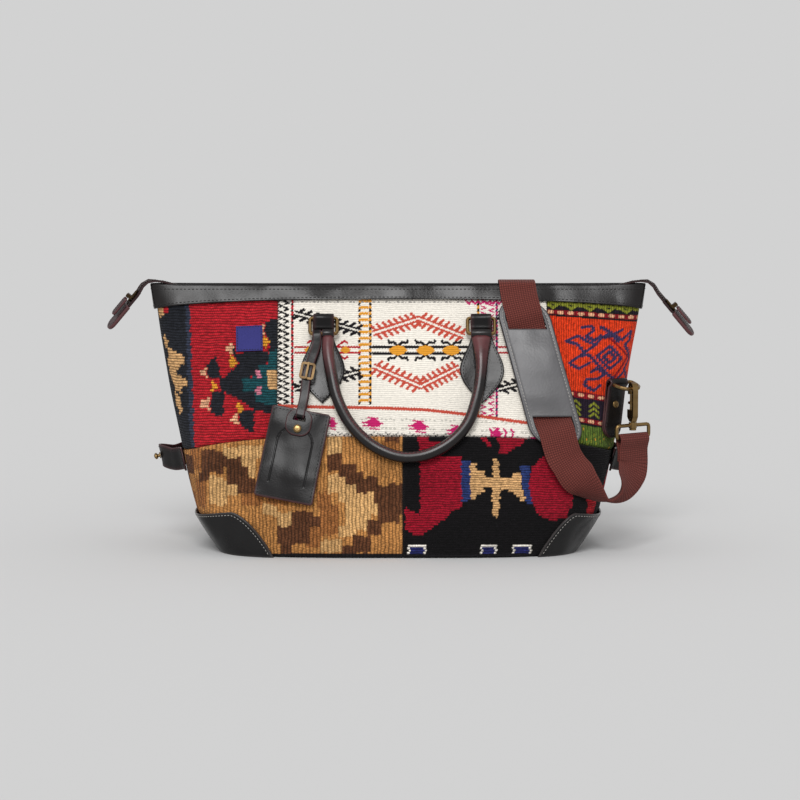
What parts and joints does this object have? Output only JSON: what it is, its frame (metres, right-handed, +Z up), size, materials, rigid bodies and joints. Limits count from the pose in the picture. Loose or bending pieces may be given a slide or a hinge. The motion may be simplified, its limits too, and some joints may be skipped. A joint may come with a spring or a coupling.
{
  "type": "weekender bag",
  "caption": "Soft weekender bag of patchwork flat-weave with leather trim, rolled handles on rings, a zipped mouth, a luggage tag and a padded shoulder strap on swivel hooks.",
  "frame": {"origin": "middle of the base panel's underside", "axes": "+X to the right along the bag's length, -Y out of the front, +Z up"},
  "size_m": [0.616, 0.2168, 0.2796],
  "materials": {
    "kilim_red": "flat-woven wool",
    "kilim_cream": "flat-woven wool",
    "kilim_orange": "flat-woven wool",
    "kilim_black": "flat-woven wool",
    "kilim_brown": "flat-woven wool",
    "black_leather": "smooth, soft sheen",
    "handle_leather": "rolled, polished by use",
    "maroon_leather": "smooth",
    "pad_leather": "grained, padded",
    "brass": "antiqued",
    "webbing": "ribbed cotton webbing",
    "zip_cloth": "woven tape",
    "cotton": "plain cotton",
    "board": "stiff board"
  },
  "bodies": {
    "bag": {"front_patch_orange": "kilim_orange", "front_patch_cream": "kilim_cream", "front_patch_red": "kilim_red", "front_patch_black": "kilim_black", "front_patch_brown": "kilim_brown", "back_patch_red": "kilim_red", "back_patch_cream": "kilim_cream", "back_patch_brown": "kilim_brown", "back_patch_black": "kilim_black", "base_panel": "black_leather", "base_board": "board", "lining": "cotton", "front_corner_left": "black_leather", "front_corner_right": "black_leather", "back_corner_right": "black_leather", "back_corner_left": "black_leather", "front_band": "black_leather", "back_band": "black_leather", "zip_tape_front": "zip_cloth", "zip_tape_back": "zip_cloth", "front_handle_tab_left": "black_leather", "front_handle_tab_right": "black_leather", "back_handle_tab_right": "black_leather", "back_handle_tab_left": "black_leather", "right_zip_end_tab": "maroon_leather", "right_zip_slider": "brass", "right_ring_tab": "black_leather", "right_strap_eye": "brass", "right_cinch_strap": "black_leather", "right_cinch_stud": "brass", "left_zip_end_tab": "maroon_leather", "left_zip_slider": "brass", "left_ring_tab": "black_leather", "left_strap_eye": "brass", "left_cinch_strap": "black_leather", "left_cinch_stud": "brass", "shoulder_pad": "pad_leather", "shoulder_strap": "webbing"},
    "front_rings": {"front_ring_left": "brass", "front_ring_right": "brass"},
    "front_handle": {"front_handle": "handle_leather"},
    "back_rings": {"back_ring_left": "brass", "back_ring_right": "brass"},
    "back_handle": {"back_handle": "handle_leather"},
    "luggage_tag": {"tag_strap": "black_leather", "tag_buckle": "brass", "tag_buckle_pin": "brass", "tag_back": "black_leather", "tag_front": "black_leather", "tag_tongue": "black_leather", "tag_snap": "brass"},
    "left_zip_pull": {"left_zip_pull": "maroon_leather"},
    "right_zip_pull": {"right_zip_pull": "maroon_leather"},
    "left_side_ring": {"left_side_ring": "brass"},
    "right_side_ring": {"right_side_ring": "brass"},
    "left_hook": {"left_hook": "brass"},
    "right_hook": {"right_hook": "brass"},
    "left_hook_bolt": {"left_hook_bolt": "brass"},
    "right_hook_bolt": {"right_hook_bolt": "brass"}
  },
  "joints": [
    {"name": "front_rings_swing", "type": "hinge", "parent": "bag", "child": "front_rings", "pos_m": [0.0045, -0.0344, 0.24176], "axis": [-1, 0, 0], "range_deg": [0, 90]},
    {"name": "front_handle_swing", "type": "hinge", "parent": "front_rings", "child": "front_handle", "pos_m": [0.0045, -0.04502, 0.22661], "axis": [-1, 0, 0], "range_deg": [0, 80]},
    {"name": "back_rings_swing", "type": "hinge", "parent": "bag", "child": "back_rings", "pos_m": [-0.0045, 0.0344, 0.24176], "axis": [1, 0, 0], "range_deg": [0, 90]},
    {"name": "back_handle_swing", "type": "hinge", "parent": "back_rings", "child": "back_handle", "pos_m": [-0.0045, 0.04502, 0.22661], "axis": [1, 0, 0], "range_deg": [0, 80]},
    {"name": "luggage_tag_swing", "type": "hinge", "parent": "front_rings", "child": "luggage_tag", "pos_m": [-0.077, -0.04502, 0.22661], "axis": [-1, 0, 0], "range_deg": [0, 70]},
    {"name": "left_zip_pull_flip", "type": "hinge", "parent": "bag", "child": "left_zip_pull", "pos_m": [-0.28216, 0, 0.26316], "axis": [0, 1, 0], "range_deg": [0, 150]},
    {"name": "left_side_ring_tip", "type": "hinge", "parent": "bag", "child": "left_side_ring", "pos_m": [-0.18902, 0.05585, 0.17667], "axis": [0.9867, 0.1625, 0], "range_deg": [-4, 0]},
    {"name": "left_hook_swivel", "type": "hinge", "parent": "bag", "child": "left_hook", "pos_m": [-0.19348, 0.0829, 0.13393], "axis": [0.0503, -0.3052, 0.951], "range_deg": [0, 16]},
    {"name": "left_hook_bolt_slide", "type": "slide", "parent": "left_hook", "child": "left_hook_bolt", "axis": [0.0503, -0.3052, 0.951], "range_m": [-0.004, 0], "stiffness_N_per_m": 150},
    {"name": "right_zip_pull_flip", "type": "hinge", "parent": "bag", "child": "right_zip_pull", "pos_m": [0.2902, 0, 0.25359], "axis": [0, -1, 0], "range_deg": [0, 150]},
    {"name": "right_side_ring_tip", "type": "hinge", "parent": "bag", "child": "right_side_ring", "pos_m": [0.231, -0.04188, 0.17558], "axis": [-0.8099, -0.5865, 0], "range_deg": [-4, 0]},
    {"name": "right_hook_swivel", "type": "hinge", "parent": "bag", "child": "right_hook", "pos_m": [0.24234, -0.05753, 0.13661], "axis": [0, 0, 1], "range_deg": [0, 16]},
    {"name": "right_hook_bolt_slide", "type": "slide", "parent": "right_hook", "child": "right_hook_bolt", "axis": [0, 0, 1], "range_m": [-0.004, 0], "stiffness_N_per_m": 150}
  ]
}
